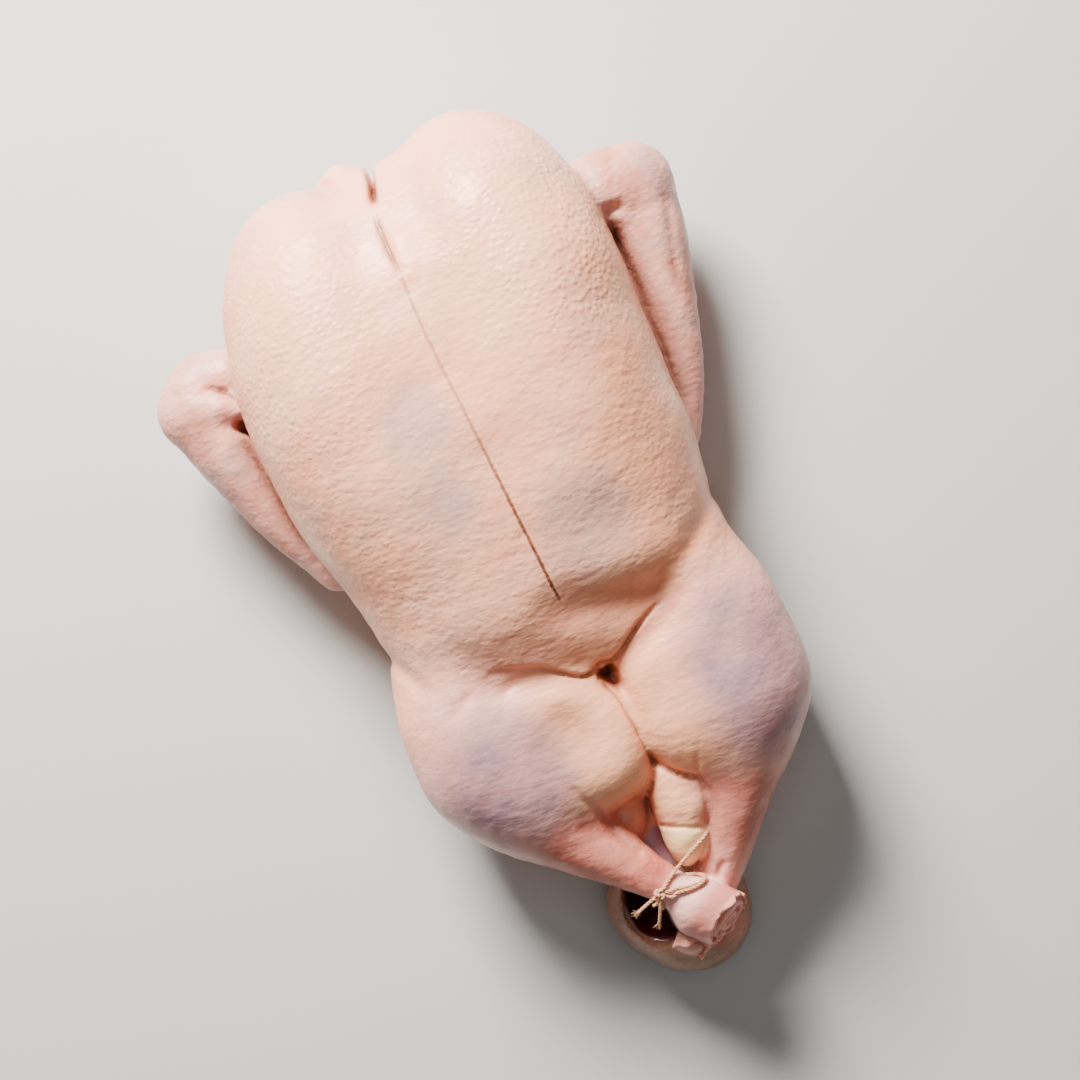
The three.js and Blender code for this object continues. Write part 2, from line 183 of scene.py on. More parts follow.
class Shader:
    """A material's node tree, with its Principled shader."""

    def __init__(self, name):
        self.material = bpy.data.materials.new(name)
        self.material.use_nodes = True
        self.tree = self.material.node_tree
        self.principled = self.tree.nodes["Principled BSDF"]
        self.place = self.add("ShaderNodeTexCoord", output="Object")

    def add(self, kind, settings=None, values=None, output=0):
        """Any node: its settings first, then the values or links of its sockets."""
        node = self.tree.nodes.new(kind)
        for name, value in (settings or {}).items():
            setattr(node, name, value)
        for name, value in (values or {}).items():
            self.feed(node.inputs[name], value)
        return Socket(self, node.outputs[output])

    def feed(self, target, value):
        if isinstance(value, Socket):
            self.tree.links.new(value.output, target)
        elif isinstance(value, (tuple, list)) and len(value) == 3 and target.type == "RGBA":
            target.default_value = (*value, 1.0)
        else:
            target.default_value = value

    def set(self, **values):
        """Feeds the Principled shader: base_color=... sets its Base Color."""
        for name, value in values.items():
            self.feed(self.principled.inputs[name.replace("_", " ").title()], value)

    def mask(self, name):
        """A value that is stored at each vertex of the mesh."""
        return self.add("ShaderNodeAttribute", {"attribute_name": name}, output="Fac")

    def stretched(self, x, y, z):
        """The place on the object, with each axis stretched."""
        return self.add("ShaderNodeVectorMath", {"operation": "MULTIPLY"}, {0: self.place, 1: (x, y, z)})

    def noise(self, scale, detail, place=None):
        """Soft cloudy noise around 0.5, with that many spots to a metre."""
        values = {"Vector": place or self.place, "Scale": scale, "Detail": detail}
        return self.add("ShaderNodeTexNoise", {}, values)

    def bump(self, height, distance, strength, normal=None):
        """A normal that leans as if the surface rose with this height."""
        values = {"Height": height, "Distance": distance, "Strength": strength}
        if normal:
            values["Normal"] = normal
        return self.add("ShaderNodeBump", {}, values, output="Normal")


FLOOR_TONES = (0.52, 0.52, 0.51), (0.55, 0.55, 0.54)
floor_shader = Shader("plain_floor")
floor_tone = floor_shader.noise(3.0, 2.0).mix(*FLOOR_TONES)
floor_shader.set(base_color=floor_tone, roughness=0.7)
floor_mesh.materials.append(floor_shader.material)
print(f"floor material: {len(floor_shader.tree.nodes)} nodes")

# %% [markdown]
# ## The bird's form as a field
# Skin over meat has no edges: breast, thighs and wings run into each other. So the carcass is described by a
# field, a function that gives any point its distance to the skin, negative inside. Rounded lumps and tapering
# limbs are joined with a smooth minimum, which rounds the join. Modelling by hand with a sculpting brush
# would look alike, but a field is exact, repeatable and easy to adjust.

# %% Words of the field
SMALL = np.float32     # short numbers make the field quick to work out
NEVER_ZERO = 1e-5
STEEPEST_CONE = 0.95


def blend(a, b, width):
    """The smooth minimum: joins two forms with a fillet of about that width."""
    h = np.maximum(width - np.abs(a - b), 0) / width
    return np.minimum(a, b) - h * h * (width / 4)


def carve(a, b, width):
    """The smooth maximum: keeps the part of form a where b is below zero too."""
    return -blend(-a, -b, width)


def smooth_step(low, high, value):
    """0 at low and 1 at high, with no corner at either end."""
    t = np.clip((value - low) / (high - low), 0, 1)
    return t * t * (3 - 2 * t)


def lump(P, at, half, turn=0.0, tilt=0.0, power=2.0):
    """A rounded mass: power 2 is an ellipsoid, and more is fuller."""
    x, y, z = (P[i] - SMALL(at[i]) for i in range(3))
    cos_turn, sin_turn = SMALL(math.cos(math.radians(turn))), SMALL(math.sin(math.radians(turn)))
    cos_tilt, sin_tilt = SMALL(math.cos(math.radians(tilt))), SMALL(math.sin(math.radians(tilt)))
    along = cos_turn * y - sin_turn * x
    local = (cos_turn * x + sin_turn * y, cos_tilt * along + sin_tilt * z, cos_tilt * z - sin_tilt * along)
    share = [np.maximum(np.abs(value) / SMALL(half[i]), SMALL(NEVER_ZERO)) for i, value in enumerate(local)]
    level = sum(s ** SMALL(power) for s in share) ** SMALL(1 / power)
    slope = sum(((s / level) ** SMALL(power - 1) / SMALL(half[i])) ** 2 for i, s in enumerate(share))
    return (level - 1) / np.sqrt(slope)


def smooth_row(rows, pieces):
    """A Catmull-Rom curve through rows of numbers."""
    rows = np.asarray(rows, float)
    ends = np.vstack([2 * rows[0] - rows[1], rows, 2 * rows[-1] - rows[-2]])
    path = []
    for a, b, c, d in zip(ends[:-3], ends[1:-2], ends[2:-1], ends[3:]):
        for t in np.arange(pieces) / pieces:
            bend, twist = 2 * a - 5 * b + 4 * c - d, 3 * b - a - 3 * c + d
            path.append(0.5 * (2 * b + (c - a) * t + bend * t * t + twist * t ** 3))
    return np.vstack([path, rows[-1]])


def limb(P, stations, pieces=5):
    """A rod of changing radius through stations x, y, z, radius, as a row of round cones."""
    path = smooth_row(stations, pieces)
    nearest = None
    for a, b in zip(path[:-1], path[1:]):
        axis = b[:3] - a[:3]
        length = float(np.linalg.norm(axis))
        axis = axis / length
        sine = min(STEEPEST_CONE, max(-STEEPEST_CONE, (a[3] - b[3]) / length))
        lean = sine / math.sqrt(1 - sine * sine)
        x, y, z = (P[i] - SMALL(a[i]) for i in range(3))
        h = x * SMALL(axis[0]) + y * SMALL(axis[1]) + z * SMALL(axis[2])
        off = np.maximum(x * x + y * y + z * z - h * h, 0)
        t = np.clip((h - np.sqrt(off) * SMALL(lean)) / SMALL(length), 0, 1)
        cone = np.sqrt(off + (h - t * SMALL(length)) ** 2) - (SMALL(a[3]) + t * SMALL(b[3] - a[3]))
        nearest = cone if nearest is None else np.minimum(nearest, cone)
    return nearest


BALL = dict(at=(0, 0, 0), half=(10, 10, 10))
print("a test ball of radius 10, at 12 from its middle:", float(lump(np.array([12.0, 0, 0], SMALL), **BALL)))

# %% [markdown]
# ## Sizes of the forms
# These are the values that the solids were made from: centre and half-sizes of each lump, and centre and
# radius at each station of a limb, in millimetres. Heights are measured from the floor, and the middle of
# the plan is a point under the keel.

# %% Named forms
BREAST = {
    "left": dict(at=(-34, 88, 53), half=(43, 74, 53), turn=-2, power=2.15),
    "right": dict(at=(35, 93, 53), half=(43, 76, 54), turn=1, power=2.15),
    "keel": dict(at=(1, 88, 52), half=(36, 72, 51.5)),
    "ribs": dict(at=(9, 14, 47), half=(70, 68, 50), tilt=9, power=2.25),
    "neck_skin": dict(at=(-11, 152, 48), half=(10, 15, 20)),
}
BACK = {
    "shoulders": dict(at=(0, 60, 30), half=(62, 100, 31), power=2.6),
    "loin": dict(at=(10, -40, 24), half=(56, 84, 26), power=2.4),
}
THIGHS = {
    "left": dict(at=(-31, -61, 43), half=(32, 44, 33), turn=16, power=2.2),
    "right": dict(at=(57, -62, 43), half=(32, 43, 34), turn=-10, power=2.2),
    "left_flank": dict(at=(-34, -14, 40), half=(24, 42, 36)),
    "right_flank": dict(at=(54, -12, 40), half=(25, 44, 37)),
}
BELLY = {
    "left": dict(at=(3, -70, 46), half=(22, 29.5, 27.5), turn=-8, power=2.5),
    "left_top": dict(at=(-7, -50, 50), half=(22, 15, 26), turn=6),
    "right": dict(at=(35.5, -67, 46), half=(18.5, 31, 27), turn=6, power=2.4),
    "right_top": dict(at=(35, -50, 50), half=(15, 14, 24.5), turn=-10),
    "under_lobe": dict(at=(4, -99.5, 40), half=(9.5, 16.5, 13), turn=-8),
    "right_lobe": dict(at=(27, -98.5, 45), half=(14.5, 19.5, 15.2), turn=4, power=2.6),
    "membrane": dict(at=(9, -120, 31), half=(10, 14, 10)),
}
TAIL = {
    "rump": dict(at=(10.8, -147.5, 20), half=(23.6, 28.6, 23), turn=46, power=2.2),
    "side": dict(at=(19, -138, 20), half=(18.5, 31, 18), turn=-4),
}
LEFT_LEG = [(-36, -66, 46, 26), (-19, -99, 48, 16), (-4, -118, 51, 10), (7, -131.5, 53, 7.3),
            (12, -138, 53, 7.2), (18, -145.5, 52, 10.2), (24, -151.5, 51.5, 10.6), (31, -158, 51, 10.2)]
HEEL = [(14.5, -146, 50, 8.8), (20, -151, 50, 9)]
RIGHT_LEG = [(60, -74, 46, 26), (48.5, -104, 47, 15.5), (37.5, -126, 44, 9.8), (30, -137, 41, 8),
             (22, -145.5, 39, 7.5), (15.5, -151.5, 40.5, 7), (11.5, -156.5, 42, 6.5)]
HOCK_CUT = dict(at=(27.8, -153.9, 50), facing=(0.55, -0.75, 0.37), edge=0.9)
LAYERS = dict(gap=3.3, depth=0.95, lean=0.6, across=0.28, upward=0.22, sway=1.2, rim=(0, -0.8),
              wobbly=(-1, -6), core=(-9, -7))
SKIN_FLAP = [(24.5, -108, 47, 10.5), (23.3, -116, 47, 9.3), (22, -121.5, 46.5, 7.4), (20.3, -126.5, 44, 4.2)]
CAVITY = [(-2, -139.5, 46, 10.2), (1, -145, 44, 10.8), (3, -136, 33, 10), (7, -122, 23, 7.5),
          (8, -100, 21, 7)]
WINGS = {
    "left": dict(
        forearm=[(-94, 98, 38, 14.5), (-88.5, 80, 37, 13.6), (-82.5, 60, 36, 11.2), (-76.5, 42, 35, 8.6),
                 (-67, 22, 34, 7)],
        elbow=[(-58, 104, 38, 14), (-78, 107, 39, 11.5), (-90, 108, 39, 12), (-96, 100, 38, 12)],
        web=[(-62, 100, 35, 11), (-72, 96, 37, 8.5), (-72, 84, 31, 9), (-72, 76, 37, 9), (-71.5, 60, 37, 8),
             (-69, 44, 36, 6.8)]),
    "right": dict(
        forearm=[(93, 119, 38, 15), (93, 102, 38, 13.8), (91, 82, 37, 11.8), (88.5, 62, 36, 9.4),
                 (84.5, 42, 35, 7.6), (77, 24, 34, 6.5)],
        elbow=[(60, 116, 40, 17), (80, 122.5, 41, 15.5), (92, 122, 39, 15.2)],
        web=[(73, 106, 33, 9), (77, 84, 34, 9), (78, 62, 37, 8), (79, 44, 37, 7)]),
}
LEFT_WRIST_FOLD = [(-95, 98, 44, 8), (-84, 96, 47, 6.5), (-77, 90, 46, 4.5)]
RIM, FOLD, SKIN, JOINT, MEAT, BROAD, WIDE = 1, 2, 3, 6, 12, 20, 30   # widths of the joins
print("lumps:", sum(len(lumps) for lumps in (BREAST, BACK, THIGHS, BELLY, TAIL)))

# %% Breast, wings and rear


def breast(P):
    """Both halves, the keel between them, the ribs and the skin of the neck."""
    f = blend(lump(P, **BREAST["left"]), lump(P, **BREAST["right"]), BROAD)
    f = blend(f, lump(P, **BREAST["keel"]), MEAT)
    f = blend(f, lump(P, **BREAST["ribs"]), WIDE)
    return blend(f, lump(P, **BREAST["neck_skin"]), JOINT)


def wing(P, side):
    """A folded wing and the web of skin that holds it to the breast."""
    parts = WINGS[side]
    f = blend(limb(P, parts["forearm"]), limb(P, parts["elbow"]), JOINT)
    if side == "left":
        f = blend(f, limb(P, LEFT_WRIST_FOLD), SKIN)
    return blend(f, limb(P, parts["web"]), SKIN)


def wings(P):
    """The nearer of the two wings."""
    return np.minimum(wing(P, "left"), wing(P, "right"))


def cut_depth(P):
    """How far a point lies past the cut end of the upper leg."""
    return sum((P[i] - SMALL(HOCK_CUT["at"][i])) * SMALL(HOCK_CUT["facing"][i]) for i in range(3))


def leg_layers(P, tube):
    """The layers of folded skin at the cut, from -1 in a groove to 1 on a lip, counted in from the rim."""
    x, y, z = (P[i] - SMALL(HOCK_CUT["at"][i]) for i in range(3))
    sideways = np.sin((x + y * SMALL(LAYERS["lean"])) * SMALL(LAYERS["across"]) + 1)
    wobble = sideways + np.sin(z * SMALL(LAYERS["upward"])) * SMALL(LAYERS["sway"])
    return np.cos((tube + wobble * smooth_step(*LAYERS["wobbly"], tube)) * SMALL(2 * math.pi / LAYERS["gap"]))


def left_leg(P):
    """The upper leg, cut off past the heel."""
    tube = blend(limb(P, LEFT_LEG), limb(P, HEEL), SKIN)
    on_face = smooth_step(*LAYERS["rim"], tube) * smooth_step(*LAYERS["core"], tube)
    groove = LAYERS["depth"] * (1 - leg_layers(P, tube)) * on_face
    return carve(tube, cut_depth(P) + groove, HOCK_CUT["edge"])


def both_legs(P):
    """The upper leg and the lower one."""
    return left_leg(P), limb(P, RIGHT_LEG)


def rear(P, legs):
    """Thighs, belly and its lobes, tail and legs, with the mouth of the body cavity carved out."""
    left = blend(blend(lump(P, **THIGHS["left"]), legs[0], MEAT), lump(P, **THIGHS["left_flank"]), BROAD)
    right = blend(blend(lump(P, **THIGHS["right"]), legs[1], MEAT), lump(P, **THIGHS["right_flank"]), BROAD)
    halves = [blend(lump(P, **BELLY[side]), lump(P, **BELLY[side + "_top"]), MEAT) for side in WINGS]
    belly = blend(*halves, SKIN)
    lobes = blend(lump(P, **BELLY["under_lobe"]), lump(P, **BELLY["right_lobe"]), FOLD)
    lobes = blend(blend(lobes, limb(P, SKIN_FLAP), FOLD), lump(P, **BELLY["membrane"]), FOLD)
    f = blend(blend(left, right, FOLD), belly, MEAT)
    f = blend(f, lump(P, **BACK["loin"]), MEAT)
    f = blend(f, lobes, FOLD)
    f = blend(f, blend(lump(P, **TAIL["rump"]), lump(P, **TAIL["side"]), JOINT), JOINT)
    f = carve(f, -limb(P, CAVITY), SKIN)
    return blend(blend(f, legs[0], FOLD), legs[1], FOLD)


def form(P):
    """The carcass without its fine folds, flat where its back lies on the floor."""
    f = blend(breast(P), rear(P, both_legs(P)), JOINT)
    f = blend(f, lump(P, **BACK["shoulders"]), MEAT)
    f = blend(f, wings(P), SKIN)
    return carve(f, -P[2], RIM)


TALLEST = 110          # no part of the bird reaches this height
heights = np.arange(TALLEST, dtype=SMALL)
over_keel = [np.full_like(heights, value) for value in BREAST["keel"]["at"][:2]]
print("height of the keel:", int(np.sum(form((*over_keel, heights)) < 0)), "mm")

# %% [markdown]
# ## Folds and creases
# The skin folds where meat moves against meat: along the keel, where the breast's skin laps over the thighs,
# down the belly, and at the joints of the wings. Each fold is a path seen from above, with a width and a
# depth. Pressing it into the field moves the skin itself, so it shows from every side.

# %% Named folds
NO_CEILING = (TALLEST + 10, TALLEST + 9)


def fold(path, width, depth, into=0.2, out=0.2, above=(20, 34), below=NO_CEILING):
    """A groove along a path, with soft ends over a share of its length, and between two heights."""
    return dict(path=path, width=width, depth=depth, ends=(into, out), above=above, below=below)


KEEL = [(-3, 134), (-2, 117), (-1, 90), (2, 60), (4, 40), (7, 10), (10, -20)]
BIB = [(-40, -38), (-31, -35.5), (-23, -34), (-14, -35.5), (-6, -38.5), (1.5, -43.5), (7, -46.7),
       (11.3, -46.6), (15, -44.5), (20, -45), (25, -42.4), (31, -38), (39, -33.6), (50, -29)]
NECK_FOLDS = [
    fold([(3, 176), (0.8, 157), (-2.2, 140)], 1.5, 10, 0.01, 0.2, above=(20, 50)),
    fold([(-2.6, 141), (-3, 131), (-2, 112)], 1.0, 0.6, 0.25, 0.35),
    fold([(-18, 163), (-16, 152), (-15, 142)], 4, 1.6, 0.2, 0.5),
]
BREAST_FOLDS = [
    fold([(84, 8), (72, -6), (62, -15), (50, -24)], 4, 1.8, 0.3, 0.3),
    fold([(60, -18), (44, -25), (28, -24), (10, -21), (-8, -18)], 8.5, 4.2, 0.3, 0.35),
    fold([(-62, -8), (-56, -20), (-50, -30), (-42, -36)], 3, 1.4, 0.3, 0.4),
    fold([(-46, -45), (-38, -41), (-30, -36)], 2, 0.9, 0.4, 0.4),
    fold([(-9, -38), (-19, -41), (-29, -44)], 1.8, 0.9, 0.4, 0.4),
    fold(BIB[3:], 0.9, 1.6, 0.35, 0.3),
]
BELLY_FOLDS = [
    fold([(12.0, -47.6), (16, -48.4), (20.5, -46.8)], 1.8, 3.6, 0.2, 0.3, above=(40, 56)),
    fold([(15.0, -48), (17.2, -52.5), (20.5, -60)], 2.4, 2.6, 0.05, 0.8, above=(40, 56)),
    fold([(13, -51), (17, -60), (18.6, -70), (19.5, -78), (20.2, -86)], 0.8, 1.2, 0.1, 0.05),
    fold([(-24, -44), (-13, -50), (-6, -57), (0, -68), (2, -80), (-1, -92)], 5.5, 0.9, 0.4, 0.4),
    fold([(20.4, -82), (20.4, -89), (17.6, -95), (14.4, -99.5), (13, -105), (12.6, -110)],
         1.3, 2.6, 0.15, 0.25, above=(34, 40)),
    fold([(14, -98), (6, -100), (-4, -101)], 3.2, 1.3, 0.2, 0.2),
    fold([(20, -86), (25, -91.5), (29, -95.5), (35, -99.5)], 1.2, 2.2, 0.05, 0.2),
]
LEG_FOLDS = [
    fold([(-14, -78), (-9.5, -88), (-6.3, -95), (-3.5, -103), (-1.5, -109), (2, -115.5), (6, -121)],
         1.6, 1.5, 0.6, 0.1),
    fold([(39, -84), (36.5, -91), (34.8, -97), (35.2, -103), (33.8, -110), (31.2, -117), (28.0, -123)],
         1.0, 0.7, 0.4, 0.2, above=(40, 44)),
    fold([(14, -111), (22, -114.4), (31, -118)], 0.9, 1.0, 0.1, 0.1),
    fold([(28, -139), (30, -135), (34, -132)], 1.3, 1.6, 0.2, 0.4),
]
WING_FOLDS = [
    fold([(-89, 105.5), (-84, 103.8), (-79.5, 100.5)], 1.4, 0.9, 0.4, 0.1, above=(38, 46)),
    fold([(-82.5, 89.6), (-78.5, 86.5), (-75, 84)], 2.1, 9, 0.5, 0.1, above=(33, 42), below=(58, 50)),
    fold([(-79, 82), (-76.8, 76), (-75.2, 69), (-74.3, 60), (-73.4, 50), (-72, 40), (-69.5, 25)],
         1.2, 0.7, 0.1, 0.3, above=(34, 42), below=(56, 48)),
    fold([(77.5, 113), (82, 113.5), (88, 112)], 2.2, 2.6, 0.1, 0.6, above=(38, 46), below=(60, 52)),
    fold([(79, 116), (79, 108), (78.6, 98), (79.2, 90), (79, 74), (80.5, 60), (80.5, 40), (81.5, 26)],
         1.2, 1.4, 0.1, 0.3, above=(34, 44), below=(56, 48)),
    fold([(101, 116), (101.5, 107), (99, 96), (96, 82), (93, 70)], 1.6, 0.8, 0.2, 0.4),
]
SOFT_FOLDS = NECK_FOLDS[2:] + BREAST_FOLDS[:5] + [BELLY_FOLDS[3], BELLY_FOLDS[5]] + WING_FOLDS[5:]
FINEST_FOLDS = [*NECK_FOLDS[:2], BREAST_FOLDS[5], *BELLY_FOLDS[:3], BELLY_FOLDS[4], BELLY_FOLDS[6],
                *WING_FOLDS[:2]]
SHARP_FOLDS = FINEST_FOLDS + LEG_FOLDS + WING_FOLDS[2:5]
HOLE_FOLDS = BELLY_FOLDS[:2]
# These paths have no depth: they only carry painted shade, dark lines where the wings meet the breast and at
# the left wrist.
WING_SEAMS = [
    fold([(-82, 86), (-79.8, 76), (-78.3, 69), (-77.1, 60), (-75.7, 50), (-74.1, 40), (-71.8, 25)],
         1.6, 0, 0.1, 0.3),
    fold([(80.5, 114), (80.5, 102), (81.2, 90), (81.4, 74), (81.8, 60), (82, 40), (82.8, 26)],
         1.8, 0, 0.1, 0.3),
]
WRIST_SEAM = fold([(-87, 105), (-83, 103), (-79, 99.5), (-76, 95)], 1.3, 0, 0.35, 0.1)
KEEL_FOLD = fold(KEEL, 2.0, 0.6, 0.02, 0.05)
BIB_LIP = dict(rise=1.2, roll=5.5, reach=12, ends=(0.35, 0.3), crest=(0.8, -1.8), above=(40, 55))
FOLD_REACH = 2.6       # beyond this many widths a fold is no longer felt
print("folds:", len(SOFT_FOLDS) + len(SHARP_FOLDS) + 1)

# %% Press the folds into the field


def line_distance(P, path, pieces=4):
    """In plan: the signed distance to a path, and how far along it the nearest point lies, from 0 to 1."""
    path = smooth_row(path, pieces)
    steps = np.linalg.norm(np.diff(path, axis=0), axis=1)
    start = np.concatenate([[0], np.cumsum(steps)])
    nearest = side = along = None
    for k, (a, b) in enumerate(zip(path[:-1], path[1:])):
        x, y = P[0] - SMALL(a[0]), P[1] - SMALL(a[1])
        ux, uy = SMALL((b[0] - a[0]) / steps[k]), SMALL((b[1] - a[1]) / steps[k])
        h = np.clip(x * ux + y * uy, 0, SMALL(steps[k]))
        distance = np.hypot(x - h * ux, y - h * uy)
        turn = x * uy - y * ux
        if nearest is None:
            nearest, side, along = distance, turn, h
        else:
            closer = distance < nearest
            nearest = np.where(closer, distance, nearest)
            side = np.where(closer, turn, side)
            along = np.where(closer, h + SMALL(start[k]), along)
    return np.where(side < 0, -nearest, nearest), along / SMALL(start[-1])


def beside(P, path, reach):
    """The indices of the points that may lie that close to a path, seen from above."""
    low = np.min(path, axis=0) - reach
    high = np.max(path, axis=0) + reach
    return np.nonzero((P[0] > low[0]) & (P[0] < high[0]) & (P[1] > low[1]) & (P[1] < high[1]))[0]


def soft_ends(along, into, out_of):
    """1 along a path, 0 at its two ends."""
    return smooth_step(0, into, along) * smooth_step(0, out_of, 1 - along)


def fold_share(P, groove):
    """1 in the bottom of a fold, 0 away from it."""
    share = np.zeros_like(P[0])
    near = beside(P, groove["path"], FOLD_REACH * groove["width"])
    Q = tuple(axis[near] for axis in P)
    distance, along = line_distance(Q, groove["path"])
    profile = np.exp(-(distance / SMALL(groove["width"])) ** 2)
    between = smooth_step(*groove["above"], Q[2]) * smooth_step(*groove["below"], Q[2])
    share[near] = profile * soft_ends(along, *groove["ends"]) * between
    return share


def lip_height(P):
    """The rolled edge of the breast's skin, where it laps over the belly."""
    height = np.zeros_like(P[0])
    near = beside(P, BIB, BIB_LIP["reach"])
    Q = tuple(axis[near] for axis in P)
    distance, along = line_distance(Q, BIB)
    roll = smooth_step(*BIB_LIP["crest"], distance) * np.exp(-(distance / SMALL(BIB_LIP["roll"])) ** 2)
    high_up = smooth_step(*BIB_LIP["above"], Q[2])
    height[near] = BIB_LIP["rise"] * roll * soft_ends(along, *BIB_LIP["ends"]) * high_up
    return height


def folded_form(P):
    """The whole skin: the carcass with the rolled edge and every fold."""
    f = form(P) - lip_height(P)
    for groove in [*SOFT_FOLDS, *SHARP_FOLDS, KEEL_FOLD]:
        f = f + SMALL(groove["depth"]) * fold_share(P, groove)
    return f


pressed = folded_form((*over_keel, heights)) - form((*over_keel, heights))
print(f"the folds press the skin in by {pressed.max():.1f} mm beside the line of the keel")

# %% [markdown]
# ## From field to mesh
# A coarse pass over the bird's box finds the blocks that the skin passes through, and only those are worked
# out finely. OpenVDB, which comes with Blender, then stretches a mesh of quads over the grid. Where the folds
# are small, the quads are split in four. One Newton step then puts each vertex on the field.

# %% Stretch the skin
CELL = 1.9
BLOCK = 4
BAND = 3 * CELL
LOW = np.array([-114.0, -182.0, -6 * CELL])
HIGH = np.array([114.0, 178.0, 112.0])
FINE_BALLS = [((17, -146, 48), 22), ((18, -108, 48), 20), ((15, -47, 68), 9)]
FINEST_BALLS = [((27, -153, 50), 13)]
HALF_DIAGONAL = 0.87   # of a cube with sides of 1
FIELD_ERROR = 1.5      # the field is only nearly a distance
LEAST_SLOPE = 0.5
LONGEST_MOVE = 0.7


def spread(points, field, chunk=200000):
    """A field's values at many points, a chunk at a time."""
    points = points.astype(SMALL)
    values = [field(tuple(points[i:i + chunk].T)) for i in range(0, len(points), chunk)]
    return np.concatenate(values)


def stretch_mesh(field, low, high, cell):
    """The points and quads of a mesh stretched over a field, inside a box."""
    blocks = np.ceil((high - low) / (cell * BLOCK)).astype(int)
    corners = np.stack(np.meshgrid(*[np.arange(n) for n in blocks], indexing="ij"), -1).reshape(-1, 3)
    centres = low + (corners + 0.5 - 0.5 / BLOCK) * cell * BLOCK
    coarse = spread(centres, field)
    near = np.abs(coarse) < cell * BLOCK * HALF_DIAGONAL + 2 * cell + FIELD_ERROR
    values = np.clip(coarse, -BAND, BAND).reshape(blocks)
    for axis in range(3):
        values = values.repeat(BLOCK, axis)
    inner = np.stack(np.meshgrid(*[np.arange(BLOCK)] * 3, indexing="ij"), -1).reshape(-1, 3)
    cells = (corners[near, None] * BLOCK + inner).reshape(-1, 3)
    fine = spread(low + cells * cell, field)
    values[tuple(cells.T)] = np.clip(fine, -BAND, BAND)
    grid = openvdb.FloatGrid()
    grid.background = BAND
    grid.copyFromArray(values.astype(np.float32))
    points, quads = grid.convertToQuads(isovalue=0.0)
    return points * cell + low, quads[:, ::-1]


def in_detail(points, balls, folds, reach):
    """Which points lie in a ball, or that close to a fold."""
    wanted = np.zeros(len(points), bool)
    for centre, radius in balls:
        wanted |= np.linalg.norm(points - np.array(centre), axis=1) < radius
    P = tuple(points.T.astype(SMALL))
    for groove in folds:
        near = beside(P, groove["path"], reach)
        distance, _ = line_distance(tuple(axis[near] for axis in P), groove["path"])
        between = (P[2][near] > groove["above"][0]) & (P[2][near] < groove["below"][0])
        wanted[near] |= (np.abs(distance) < reach) & between
    return wanted


def split_finer(draft, balls, folds, reach):
    """Splits each wanted face in four."""
    wanted = in_detail(np.array([v.co[:] for v in draft.verts]), balls, folds, reach)
    inside = [edge for edge in draft.edges if all(wanted[v.index] for v in edge.verts)]
    bmesh.ops.subdivide_edges(draft, edges=inside, cuts=1, use_grid_fill=True)
    draft.verts.index_update()


def slope_of(field, points, step=0.3):
    """The direction in which a field grows fastest at each point, as long as it is steep."""
    ahead = [spread(points + step * np.eye(3)[i], field) for i in range(3)]
    behind = [spread(points - step * np.eye(3)[i], field) for i in range(3)]
    return np.stack([(a - b) / (2 * step) for a, b in zip(ahead, behind)], -1)


skin_points, skin_faces = stretch_mesh(folded_form, LOW, HIGH, CELL)
print(f"skin: {len(skin_faces)} quads")
draft_mesh = bpy.data.meshes.new("skin_draft")
draft_mesh.from_pydata(skin_points.tolist(), [], skin_faces.tolist())
draft = bmesh.new()
draft.from_mesh(draft_mesh)
split_finer(draft, FINE_BALLS, SHARP_FOLDS, reach=4.0)
split_finer(draft, FINEST_BALLS, FINEST_FOLDS, reach=2.0)
skin_points = np.array([v.co[:] for v in draft.verts])
skin_faces = [[v.index for v in face.verts] for face in draft.faces]
draft.free()
bpy.data.meshes.remove(draft_mesh)

skin_slope = slope_of(folded_form, skin_points)
steepness = np.linalg.norm(skin_slope, axis=1, keepdims=True)
skin_normals = skin_slope / np.maximum(steepness, NEVER_ZERO)
off_by = spread(skin_points, folded_form)[:, None] / np.maximum(steepness, LEAST_SLOPE)
skin_points = skin_points - skin_normals * np.clip(off_by, -LONGEST_MOVE, LONGEST_MOVE)
print(f"skin: {len(skin_points)} vertices, {sum(len(face) - 2 for face in skin_faces)} triangles")

# %% [markdown]
# ## Relief of the skin
# Real skin is never an even curve. Soft swellings a few centimetres long keep the breast from looking
# machined, and fine wrinkles run across the bird. Both are sums of sine waves in seeded directions, and they
# move the vertices along their normals. The underside stays flat, and nothing leaves the bird's box.

# %% Move the skin
SWELLING, WRINKLE, PUCKER, SLACK = 0.36, 0.09, 0.08, 0.08   # heights of the relief
FINE_WAVES = 24
SCATTER = 0.28         # how far waves that run along an axis may stray from it


def waves(points, lengths, seed, along=None, count=14):
    """An even, seamless relief from -1 to 1. The waves run along an axis, or any way without one."""
    draw = np.random.default_rng(seed)
    total = np.zeros(len(points))
    for _ in range(count):
        way = draw.normal(size=3)
        if along is not None:
            way = way * SCATTER + np.asarray(along) * draw.choice([-1, 1])
        way = way / np.linalg.norm(way)
        total += np.sin(points @ way * (2 * math.pi / draw.uniform(*lengths)) + draw.uniform(0, 2 * math.pi))
    return total / math.sqrt(count)


